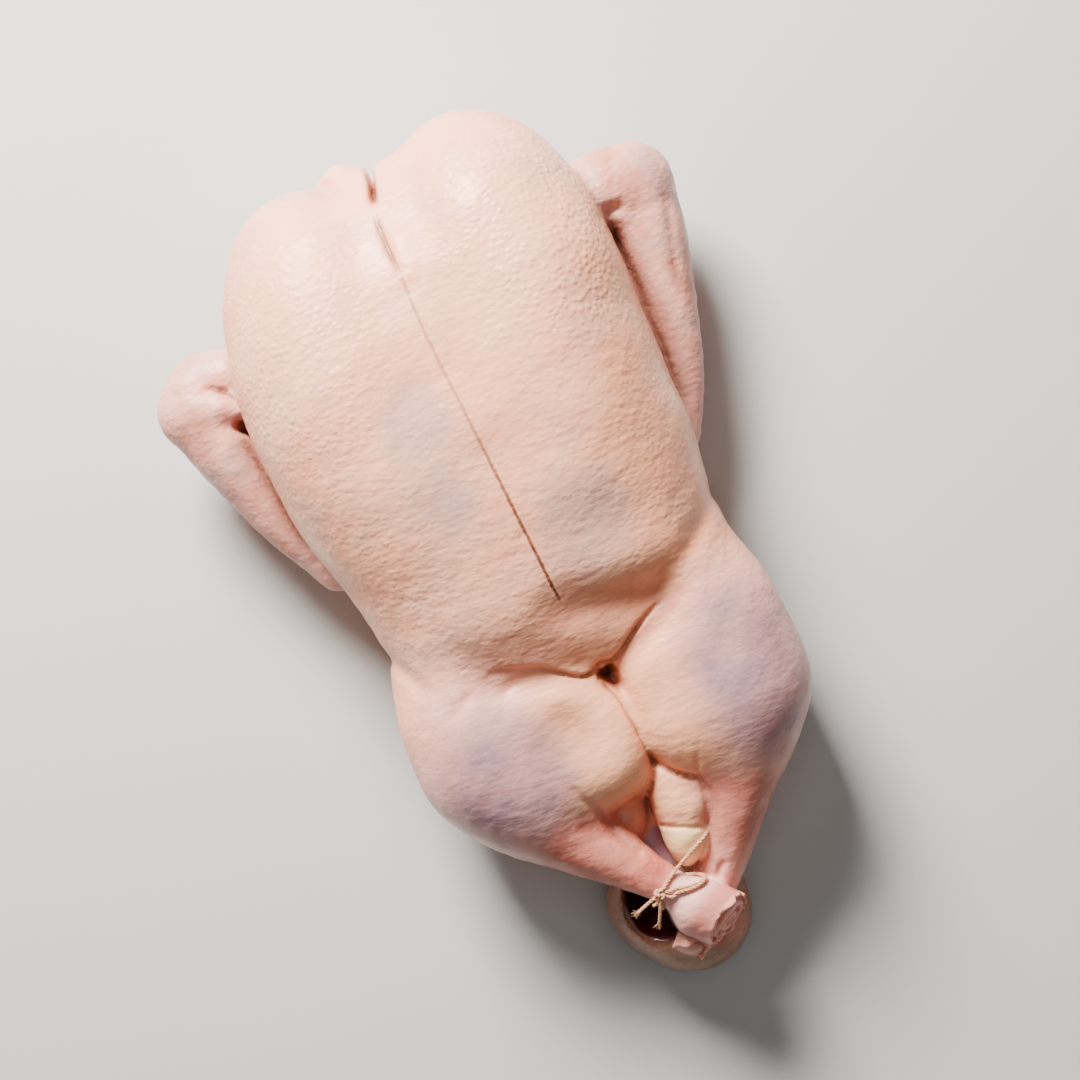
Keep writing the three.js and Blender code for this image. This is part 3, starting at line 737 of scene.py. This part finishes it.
swelling = SWELLING * waves(skin_points, (26, 48), seed=3)
patchy = smooth_step(-0.6, 1.2, waves(skin_points, (20, 40), seed=5))
across = waves(skin_points, (4.2, 7.5), seed=7, along=(0.1, 1.0, 0.2), count=FINE_WAVES)
wrinkles = WRINKLE * patchy * across
puckers = PUCKER * waves(skin_points, (6, 11), seed=9, count=FINE_WAVES)
P = tuple(skin_points.T.astype(SMALL))
on_limbs = smooth_step(4, 0, np.minimum(wings(P), np.minimum(*both_legs(P))))
slack = SLACK * waves(skin_points, (5, 12), seed=11, count=FINE_WAVES) * on_limbs
off_floor = smooth_step(0.5, 8.0, skin_points[:, 2])
relief = (swelling * (1 - 0.5 * on_limbs) + wrinkles + puckers + slack) * off_floor
skin_points = skin_points + skin_normals * relief[:, None]
box_low, box_high = (np.array(corner) / MM + PLAN_MIDDLE for corner in cad_box)
skin_points = np.clip(skin_points, box_low, box_high)
print(f"relief: {relief.min():.2f} to {relief.max():.2f} mm")

# %% [markdown]
# ## Masks at the vertices
# The skin is one piece, but its colour changes from place to place: bluish over the thighs, peach on the
# belly, pink on the wings, dark red inside, darkened there as painted shade. Some masks are painted shade
# and glow: dark lines and warm tints in folds, seams and hollows, and a painted shadow on the rump. Each
# change is a value at every vertex, worked out from the same forms. It is mostly from 0 to 1, and the
# material reads it by name.

# %% Work out the masks
P = tuple(skin_points.T.astype(SMALL))
GLOW_RIM = 0.6         # the share of a patch in which it fades
ENDLESS = 1000


def glow(at, half):
    """1 at the middle of an oval patch, 0 outside it, seen from above."""
    flat = (P[0], P[1], np.zeros_like(P[0]))
    return smooth_step(0, -GLOW_RIM * min(half), lump(flat, (*at, 0), (*half, ENDLESS)))


def nearness(distance, inner, outer):
    """1 up to the inner distance, 0 from the outer one."""
    return smooth_step(outer, inner, distance)


def along_folds(folds, times=1.0, plus=0.0):
    """1 in these folds, 0 away from them, with each width multiplied and added to."""
    widened = [{**groove, "width": groove["width"] * times + plus} for groove in folds]
    return np.clip(sum(fold_share(P, groove) for groove in widened), 0, 1)


keel_distance, keel_along = line_distance(P, KEEL, pieces=6)
legs = both_legs(P)
left_thigh = np.maximum(glow((-40, -66), (40, 54)), nearness(legs[0], 2, 8))
right_thigh = np.maximum(glow((70, -64), (42, 56)), nearness(legs[1], 2, 8))
face = cut_depth(P)
masks = {
    "keel_distance": keel_distance,
    # painted shade: where along the keel a thin brown line stands in for the shade of its groove
    "keel_shade_line": soft_ends(keel_along, 0.02, 0.04) * (0.45 + 0.55 * smooth_step(0.4, 0.8, keel_along)),
    "wing": nearness(wings(P) - breast(P), -1, 4),
    "thigh": np.maximum(left_thigh, right_thigh),
    "bruise": np.maximum(glow((-33, -75), (37, 38)), glow((68, -68), (34, 44))),
    "belly": np.maximum(glow((12, -70), (40, 42)), glow((16, -104), (22, 26))),
    "bib": glow((12, -34), (52, 20)),
    "shank": np.maximum(nearness(limb(P, LEFT_LEG[1:]), 0, 7), nearness(limb(P, RIGHT_LEG[1:]), 0, 7)
                        * (0.15 + 0.75 * smooth_step(-142, -120, P[1]))),
    "hock": nearness(limb(P, LEFT_LEG[4:]), 1, 4),
    # dark red flesh inside the cavity, darkened to near black as painted shade of its depth
    "inside": nearness(limb(P, CAVITY), 0.5, 3.0),
    "membrane": nearness(lump(P, **BELLY["membrane"]), 0.5, 2),
    "under_lobe": nearness(lump(P, **BELLY["under_lobe"]), 0.5, 3),
    "flap": nearness(limb(P, SKIN_FLAP), 0.5, 2) * smooth_step(-110, -116, P[1] + 0.38 * (P[0] - 22)),
    "lobe": nearness(lump(P, **BELLY["right_lobe"]), 0.5, 2),
    # partly a warmer skin tone, partly a painted glow of light bounced in the hole below the breast
    "hole_tone_and_glow": along_folds(HOLE_FOLDS, plus=2.5),
    # painted shade: brown down the slits in the neck skin
    "slit_shade": along_folds(NECK_FOLDS[:2], times=0.9),
    "grey": np.maximum(glow((26, 22), (34, 44)), glow((-16, 46), (22, 40))),
    # the rump's tan skin, darkened as painted shade of the legs over it
    "tail": nearness(blend(lump(P, **TAIL["rump"]), lump(P, **TAIL["side"]), JOINT), 0.5, 4)
            * nearness(-np.minimum(legs[0], legs[1]), -3, -1),
    "tail_flesh": glow((24, -160), (12, 8)),
    # painted shadow: brown on the left of the rump, in the legs' shade
    "tail_shadow": glow((-10, -150), (12, 20)),
    # painted shade: brown in the bottoms of the finest folds
    "crease_shade": along_folds(FINEST_FOLDS, times=0.7),
    # partly a warmer skin tone, partly painted shade: an orange tint along the soft folds
    "soft_crease_tone_and_shade": along_folds(SOFT_FOLDS),
    "cut": smooth_step(-3.0, -1.2, face) * nearness(legs[0], 1.5, 3),
    "lip": 0.5 + 0.5 * leg_layers(P, blend(limb(P, LEFT_LEG), limb(P, HEEL), SKIN)),
    # painted shade: near-black red in the hole below the breast, over the red of its flesh, and in the left
    # wing's pocket
    "pit": np.maximum(np.maximum(fold_share(P, HOLE_FOLDS[0]), fold_share(P, HOLE_FOLDS[1])) ** 1.5,
                      fold_share(P, WING_FOLDS[1])),
    # painted shade: dark lines on the wings where they meet the breast and at the left wrist
    "seam_shade": along_folds([*WING_SEAMS, WRIST_SEAM]),
    # partly the wings' reddish-brown inner skin, partly painted shadow of the breast on them
    "armpit": along_folds(WING_SEAMS, times=0, plus=7.0),
    "raw_edge": smooth_step(-14, -6, face) * nearness(legs[0], 1.5, 3),
    "gooseflesh": 0.4 + 0.6 * np.maximum(glow((52, 118), (46, 60)), 0.75 * glow((-48, 108), (44, 62)))
                  - 0.25 * smooth_step(-30, -60, P[1]) - nearness(limb(P, CAVITY), 0.5, 3),
}
print("masks:", ", ".join(sorted(masks)))

# %% [markdown]
# ## Skin material
# Raw duck skin is cream where fat lies under it, pink where it is thin, and blue-grey where dark meat shows
# through. It is moist and finely pimpled where the feathers were. Light goes a little way into it, which
# subsurface scattering gives.

# %% Skin
skin = Shader("raw_skin")
CREAM = (0.92, 0.385, 0.205)
PALE = (0.93, 0.46, 0.30)
PINK = (0.80, 0.30, 0.22)
GREY = (0.46, 0.29, 0.26)
THIGH_PINK = (0.74, 0.37, 0.31)
WING_PINK = (0.66, 0.31, 0.26)
BRUISE = (0.29, 0.17, 0.205)
PEACH = (0.97, 0.45, 0.25)
# this orange tints the soft folds and the hole's surroundings: partly skin tone, partly painted shade and
# glow
ORANGE = (0.62, 0.16, 0.05)
# this brown is only painted shade: in creases, slits, along the keel and on the rump
SHADE_BROWN = (0.16, 0.045, 0.02)
SHANK_RED = (0.44, 0.09, 0.06)
HOCK_PALE = (0.93, 0.50, 0.45)
# dark red flesh, near black as painted shade of the deep cavity
MAROON = (0.05, 0.002, 0.003)
FLESH = (0.54, 0.15, 0.11)
MEMBRANE = (0.40, 0.22, 0.30)
TALLOW = (0.96, 0.62, 0.34)
# the rump's tan skin, made darker as painted shade
TAN = (0.20, 0.095, 0.05)
WING_RED = (0.48, 0.17, 0.11)
# flesh red, darkened as painted shade for the hole and the wing's pocket
PIT = (0.18, 0.026, 0.018)
LIP_PINK = (0.85, 0.34, 0.28)
# the colour of the painted shade along the wings' joins
SEAM_SHADE = (0.13, 0.04, 0.025)
# reddish-brown skin, darkened as painted shadow of the breast on the wings
ARMPIT = (0.34, 0.13, 0.09)

MOTTLES = [   # spots to a metre, detail, levels of the noise, strength, colour
    (34.0, 3.0, (0.50, 0.72), 0.40, GREY),
    (60.0, 4.0, (0.48, 0.70), 0.32, PINK),
    (420.0, 3.0, (0.45, 0.70), 0.22, PALE),
    (330.0, 3.0, (0.50, 0.72), 0.22, PINK),
]
colour = skin.noise(22.0, 3.0).ramp(0.35, 0.65).mix(CREAM, PALE)
for scale, detail, levels, strength, tone in MOTTLES:
    colour = (skin.noise(scale, detail).ramp(*levels) * strength).mix(colour, tone)

cloudy = skin.noise(26.0, 3.0).ramp(0.35, 0.62)
mottle = skin.noise(70.0, 4.0, place=skin.stretched(1.0, 0.6, 1.0)).ramp(0.40, 0.68)
greyed = skin.noise(48.0, 4.0).ramp(0.50, 0.66)
blotches = skin.noise(55.0, 4.0).ramp(0.25, 0.75) * 0.5 + 0.5
TINTS = [   # mask, strength, colour
    ("grey", cloudy * 0.7, GREY),
    ("wing", 0.8, WING_PINK),
    ("wing", mottle * 0.7, WING_RED),
    ("wing", greyed * 0.6, GREY),
    # Partly reddish-brown inner skin, partly painted shadow of the breast.
    ("wing", skin.mask("armpit") * 0.8, ARMPIT),
    ("thigh", 0.8, THIGH_PINK),
    ("bib", 0.28, FLESH),
    ("belly", 0.85, PEACH),
    ("bruise", blotches, BRUISE),
    ("shank", mottle * 0.3 + 0.66, SHANK_RED),
    # Tan skin of the rump, darkened as painted shade.
    ("tail", 0.85, TAN),
    ("tail_flesh", 0.75, FLESH),
    # Painted shadow on the left of the rump.
    ("tail_shadow", skin.mask("tail") * 0.6, SHADE_BROWN),
    ("hock", 0.92, HOCK_PALE),
    ("membrane", 0.9, MEMBRANE),
    ("under_lobe", 0.6, FLESH),
    ("flap", 0.9, TALLOW),
    # Partly a warmer skin tone, partly painted shade: orange along the soft folds.
    ("soft_crease_tone_and_shade", 0.22, ORANGE),
    # Partly a warmer skin tone, partly a painted glow round the hole below the breast.
    ("hole_tone_and_glow", 0.40, ORANGE),
    # Painted shade: brown in the bottoms of the finest folds.
    ("crease_shade", 0.55, SHADE_BROWN),
    # Painted shade: brown down the slits in the neck skin.
    ("slit_shade", 0.9, SHADE_BROWN),
    # Painted shade: dark lines where the wings meet the breast and at the left wrist.
    ("seam_shade", skin.mask("wing") * 0.8, SEAM_SHADE),
    ("raw_edge", mottle * 0.25 + 0.7, SHANK_RED),
    # Painted shade over flesh red: the hole below the breast and the left wing's pocket.
    ("pit", 0.9, PIT),
]
for mask, strength, tone in TINTS:
    colour = (skin.mask(mask) * strength).mix(colour, tone)
print(f"skin colours: {len(MOTTLES) + len(TINTS)} layers")

# %% Keel line of painted shade, pores and shine
# The keel line is painted shade: a thin brown line in place of the shade of a groove too fine for the mesh.
line_wobble = (skin.noise(400.0, 2.0) - 0.5) * 0.8
keel_shade_line = abs(skin.mask("keel_distance") + line_wobble).ramp(0.9, 0.35)
colour = (keel_shade_line * skin.mask("keel_shade_line")).mix(colour, SHADE_BROWN)
cut_colour = skin.mask("lip").ramp(0.35, 0.75).mix(FLESH, LIP_PINK)
colour = skin.mask("cut").mix(colour, cut_colour)

follicles = skin.add("ShaderNodeTexVoronoi", {"feature": "F1"},
                     {"Vector": skin.stretched(0.85, 1.15, 1.0), "Scale": 360.0, "Randomness": 0.85})
creping = skin.noise(190.0, 3.5, place=skin.stretched(1.0, 2.4, 1.6))
colour = (follicles.ramp(0.42, 0.16) * 0.12).mix(colour, PALE)
colour = (follicles.ramp(0.55, 0.80) * 0.14).mix(colour, PINK)
colour = (follicles.ramp(0.17, 0.07) * skin.mask("thigh") * 0.45).mix(colour, BRUISE)
stripes = skin.noise(1.0, 2.0, place=skin.stretched(75.0, 190.0, 60.0))
colour = (stripes.ramp(0.45, 0.62) * skin.mask("lobe") * 0.5).mix(colour, PINK)
# Inside the cavity: dark red flesh, darkened to near black as painted shade of its depth.
colour = skin.mask("inside").mix(colour, MAROON)

PIMPLE, STRIPE, CREPE = 0.0005, 0.0009, 0.0008   # heights of the bumps, in metres
pimply = skin.bump(follicles.ramp(0.65, 0.05) * skin.mask("gooseflesh"), PIMPLE, 0.5)
striped = skin.bump(stripes * skin.mask("lobe"), STRIPE, 0.6, normal=pimply)
wrinkled = skin.bump(creping, CREPE, 0.42, normal=striped)
wetness = skin.noise(45.0, 3.0).ramp(0.35, 0.75)
skin.set(base_color=colour, roughness=0.48 - wetness * 0.16 - skin.mask("hock") * 0.08, normal=wrinkled)
skin.set(subsurface_weight=0.12, subsurface_scale=0.004, coat_roughness=0.2)
skin.principled.inputs["Subsurface Radius"].default_value = (1.0, 0.42, 0.28)
skin.principled.subsurface_method = "BURLEY"
skin.principled.inputs["Specular IOR Level"].default_value = 0.4
skin.set(coat_weight=wetness * (1 - skin.mask("belly") * 0.6) * 0.28)
print(f"skin material: {len(skin.tree.nodes)} nodes")

# %% Make the skin piece


def new_piece(name, points, faces, material, masks):
    """A smooth piece of the bird, with each mask's values stored at its vertices."""
    mesh = bpy.data.meshes.new(name)
    mesh.from_pydata(in_frame(points).tolist(), [], [tuple(face) for face in faces])
    mesh.polygons.foreach_set("use_smooth", [True] * len(mesh.polygons))
    mesh.materials.append(material)
    mesh.update()
    for mask, values in masks.items():
        stored = mesh.attributes.new(mask, "FLOAT", "POINT")
        stored.data.foreach_set("value", np.asarray(values, np.float32))
    piece = bpy.data.objects.new(name, mesh)
    bpy.context.scene.collection.objects.link(piece)
    print(f"{name}: {len(points)} vertices, {len(faces)} faces")
    return piece


carcass_skin = new_piece("carcass_skin", skin_points, skin_faces, skin.material, masks)
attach(carcass_skin, "root")
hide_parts("carcass")

# %% [markdown]
# ## Torn skin
# The end of the lower leg pokes out under the upper one. The skin round it is a short loose sleeve with a
# ragged edge. It is a tube of rows of points whose radius ripples more and more toward the edge. There it
# turns in, which gives the skin its thickness.

# %% Make the sleeve
SLEEVE_FROM = np.array([16.5, -150.5, 40.3])
SLEEVE_TO = np.array([9.2, -160.3, 44.5])
SLEEVE_RADIUS = 6.5
SKIN_THICKNESS = 0.9
SLEEVE_ROWS = 12
SLEEVE_SIDES = 72
RIM_SHARE = 1.03       # the turned edge stands out a little past the last row
FLARE = 0.7            # the ripple of the radius at the torn edge
TEAR = ((2, 0.7, 0.13), (5, 2, 0.06))   # waves round the edge: count, phase, height
RIPPLE = ((3, 1, 0.9), (5, 2, 0.5), (9, 0, 0.15))


def round_waves(angle, rows):
    """A sum of sine waves round a ring."""
    return sum(height * np.sin(count * angle + phase) for count, phase, height in rows)


def sleeve_row(share, inset):
    """One ring of the sleeve, at a share of its length, inset from its outside."""
    ahead = SLEEVE_TO - SLEEVE_FROM
    side = np.cross(ahead, (0, 0, 1.0))
    side /= np.linalg.norm(side)
    up = np.cross(side, ahead)
    up /= np.linalg.norm(up)
    angle = np.linspace(0, 2 * math.pi, SLEEVE_SIDES, endpoint=False)
    ragged = 1 + share ** 2 * round_waves(angle, TEAR)
    radius = SLEEVE_RADIUS - inset + share ** 3 * FLARE * round_waves(angle, RIPPLE)
    ring = np.cos(angle)[:, None] * side + np.sin(angle)[:, None] * up
    return SLEEVE_FROM + ahead * (share * ragged)[:, None] + ring * radius[:, None]


def tube_faces(rows, sides):
    """The faces of a closed tube made of rings of points."""
    faces = [(i * sides + j, i * sides + (j + 1) % sides,
              (i + 1) * sides + (j + 1) % sides, (i + 1) * sides + j)
             for i in range(rows - 1) for j in range(sides)]
    last_row = (rows - 1) * sides
    return faces + [tuple(reversed(range(sides))), tuple(range(last_row, last_row + sides))]


shares = np.linspace(0, 1, SLEEVE_ROWS)
outside = [sleeve_row(share, 0) for share in shares]
turned_edge = sleeve_row(RIM_SHARE, SKIN_THICKNESS / 2)
inside = [sleeve_row(share, SKIN_THICKNESS) for share in shares[::-1]]
sleeve_rows = [*outside, turned_edge, *inside]
row_share = np.repeat(np.concatenate([shares, [1.0], shares[::-1]]), SLEEVE_SIDES)
inner = np.arange(len(row_share)) > SLEEVE_ROWS * SLEEVE_SIDES
sleeve_masks = {
    "shank": 0.6 - 0.5 * row_share,
    "hock": 0.5 * row_share,
    "raw_edge": 0.5 * row_share,
    "cut": inner * (1 - row_share ** 6),
}
sleeve_faces = [face[::-1] for face in tube_faces(len(sleeve_rows), SLEEVE_SIDES)]
torn_skin = new_piece("torn_skin", np.vstack(sleeve_rows), sleeve_faces, skin.material, sleeve_masks)
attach(torn_skin, "root")
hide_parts("carcass")

# %% [markdown]
# ## Twine
# The legs are tied with kitchen twine of three plies. Each ply is a thin tube that winds round the twine's
# path, so the twist is real and catches the light. The path finds the skin by asking the field for its
# distance.

# %% Route of the twine
TWINE_RADIUS = 0.75
LAY_GAP = 0.4          # how far the twine keeps off the skin
TWINE_CLEARANCE = TWINE_RADIUS + LAY_GAP
SEARCH_STEP = 0.05
SEARCH_REACH = 25
KNOT = (5.5, -134)
KNOT_HALF_HEIGHT = 1.8
TURNS = [dict(centre=(10.0, -134.0, 53), over=(0.96, -0.27), under=(0.88, 0.47)),
         dict(centre=(10.6, -136.0, 53), over=(0.99, -0.13), under=(0.84, 0.54))]
TURN_SLACK = 2.0
TURN_ANGLES = 20
CUT_ENDS = [[(0.5, -136, 60), (-5, -138.5, 57)], [(3.5, -139.5, 60), (1, -145.5, 56)]]
TIE = [(12.5, -129.2, 1.15), (20.5, -125.2, 1.8), (27.5, -121.6, 1.0), (31.8, -119.2, -0.9)]


def height_over(x, y, clearance):
    """The point above (x, y) where the skin is that far away."""
    heights = np.arange(TALLEST, 0, -SEARCH_STEP, dtype=SMALL)
    column = (np.full_like(heights, x), np.full_like(heights, y), heights)
    return np.array([x, y, heights[np.argmax(form(column) <= clearance)]])


def turn_round_leg(knot, centre, over, under):
    """One turn of twine round the upper leg: over it one way, and back under it another way."""
    centre = np.array(centre, float)
    start = math.atan2(knot[2] - centre[2], -np.linalg.norm(knot[:2] - centre[:2]))
    points = [knot]
    reach = np.arange(0, SEARCH_REACH, SEARCH_STEP)
    for n in range(1, TURN_ANGLES):
        angle = start - n / TURN_ANGLES * 2 * math.pi
        height = math.sqrt(0.5 + 0.5 * math.sin(angle)) if math.cos(angle) > 0 else 0.0
        way = np.array(under) * (1 - height) + np.array(over) * height
        out = np.array([*way * math.cos(angle), math.sin(angle)])
        ray = centre + reach[:, None] * out
        clear_of_leg = int(np.argmax(spread(ray, left_leg) >= TWINE_CLEARANCE))
        clear_of_all = int(np.argmax(spread(ray[clear_of_leg:], form) >= TWINE_CLEARANCE))
        points.append(ray[clear_of_leg + min(clear_of_all, int(TURN_SLACK / SEARCH_STEP))])
    return points + [knot]


knot = height_over(*KNOT, KNOT_HALF_HEIGHT + LAY_GAP)
twine_paths = [turn_round_leg(knot, **turn) for turn in TURNS]
twine_paths += [[knot, *end] for end in CUT_ENDS]
twine_paths += [[knot] + [height_over(*station) for station in TIE]]
print(f"twine: knot {knot[2]:.1f} mm up, {len(twine_paths)} strands")

# %% Twist the plies
PLY_RADIUS = 0.37
PLY_OFFSET = 0.38
TWIST_LENGTH = 5.0
PLIES = 3
PLY_SIDES = 7
PATH_STEP = 0.35
NOT_AHEAD = (0.3, 0.1, 1.0)   # any direction in which no strand sets out
CURL_SIZE = 0.62
CURL_POINTS = 40
FRAY = dict(fibres=22, sides=4, rows=6, radii=(0.10, 0.05), lengths=(1.0, 2.4), root=0.8,
            splay=0.38, bend=0.35, spot=0.25)


def even_path(points, step):
    """The smooth curve through points, cut into even steps."""
    path = smooth_row(points, 12)
    length = np.concatenate([[0], np.cumsum(np.linalg.norm(np.diff(path, axis=0), axis=1))])
    count = max(3, int(length[-1] / step) + 1)
    even = np.linspace(0, length[-1], count)
    return np.stack([np.interp(even, length, path[:, i]) for i in range(3)], -1), even


def frames_along(path):
    """Two directions square to the path at each point, carried along without turning."""
    ahead = np.gradient(path, axis=0)
    ahead /= np.linalg.norm(ahead, axis=1, keepdims=True)
    sides = [np.cross(ahead[0], NOT_AHEAD)]
    for direction in ahead[1:]:
        sides.append(sides[-1] - direction * (sides[-1] @ direction))
    sides = np.array(sides)
    sides /= np.linalg.norm(sides, axis=1, keepdims=True)
    return sides, np.cross(ahead, sides)


def tube(path, radii, sides=PLY_SIDES):
    """Points and faces of a closed tube round a path."""
    right, up = frames_along(path)
    angles = np.arange(sides) / sides * 2 * math.pi
    ring = np.cos(angles)[:, None, None] * right + np.sin(angles)[:, None, None] * up
    points = (path + ring * np.asarray(radii)[:, None]).transpose(1, 0, 2).reshape(-1, 3)
    return points, tube_faces(len(path), sides)


def joined(parts):
    """Many parts as one list of points and one of faces."""
    points, faces = [], []
    for part_points, part_faces in parts:
        start = sum(len(p) for p in points)
        points.append(part_points)
        faces += [tuple(start + i for i in face) for face in part_faces]
    return np.vstack(points), faces


def twisted(points):
    """Three plies wound round the curve through these points."""
    path, length = even_path(points, PATH_STEP)
    right, up = frames_along(path)
    parts = []
    for ply in range(PLIES):
        angle = (length / TWIST_LENGTH + ply / PLIES) * 2 * math.pi
        offset = PLY_OFFSET * (np.cos(angle)[:, None] * right + np.sin(angle)[:, None] * up)
        parts.append(tube(path + offset, np.full(len(path), PLY_RADIUS)))
    return parts


def knot_path(centre):
    """A trefoil knot: a curve that crosses itself three times."""
    t = np.linspace(0, 2 * math.pi, CURL_POINTS, endpoint=False)
    curl = np.stack([np.sin(t) + 2 * np.sin(2 * t), np.cos(t) - 2 * np.cos(2 * t), -1.4 * np.sin(3 * t)], -1)
    curl = curl * CURL_SIZE
    return list(centre + np.vstack([curl, curl[:1]]))


def frayed_end(tip, direction, seed):
    """Loose fibres at a cut end."""
    draw = np.random.default_rng(seed)
    fibres = []
    for _ in range(FRAY["fibres"]):
        way = direction + draw.normal(size=3) * FRAY["splay"]
        way /= np.linalg.norm(way)
        bend = draw.normal(size=3) * FRAY["bend"]
        reach = draw.uniform(*FRAY["lengths"])
        t = np.linspace(0, 1, FRAY["rows"])[:, None]
        root = tip - direction * FRAY["root"] + draw.normal(size=3) * FRAY["spot"]
        path = root + way * t * (reach + FRAY["root"]) + bend * t * t
        fibres.append(tube(path, np.linspace(*FRAY["radii"], FRAY["rows"]), sides=FRAY["sides"]))
    return fibres


twine_parts = [part for path in twine_paths for part in twisted(path)]
twine_parts += twisted(knot_path(knot))
for seed, end in enumerate(CUT_ENDS, start=20):
    tip, before = np.array(end[-1], float), np.array(end[-2], float)
    twine_parts += frayed_end(tip, (tip - before) / np.linalg.norm(tip - before), seed)
twine_points, twine_faces = joined(twine_parts)
print(f"twine: {len(twine_parts)} tubes")

# %% Colour the twine
twine = Shader("kitchen_twine")
STRAW = (0.46, 0.22, 0.11)
STRAW_PALE = (0.70, 0.40, 0.24)
fibre = twine.noise(900.0, 3.0)
twine.set(base_color=fibre.ramp(0.3, 0.7).mix(STRAW, STRAW_PALE), roughness=0.85)
twine.set(normal=twine.bump(fibre, 0.0002, 0.6), subsurface_weight=0.1, subsurface_scale=0.001)
twine_strands = new_piece("twine_strands", twine_points, twine_faces, twine.material, {})
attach(twine_strands, "root")
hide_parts("twine")
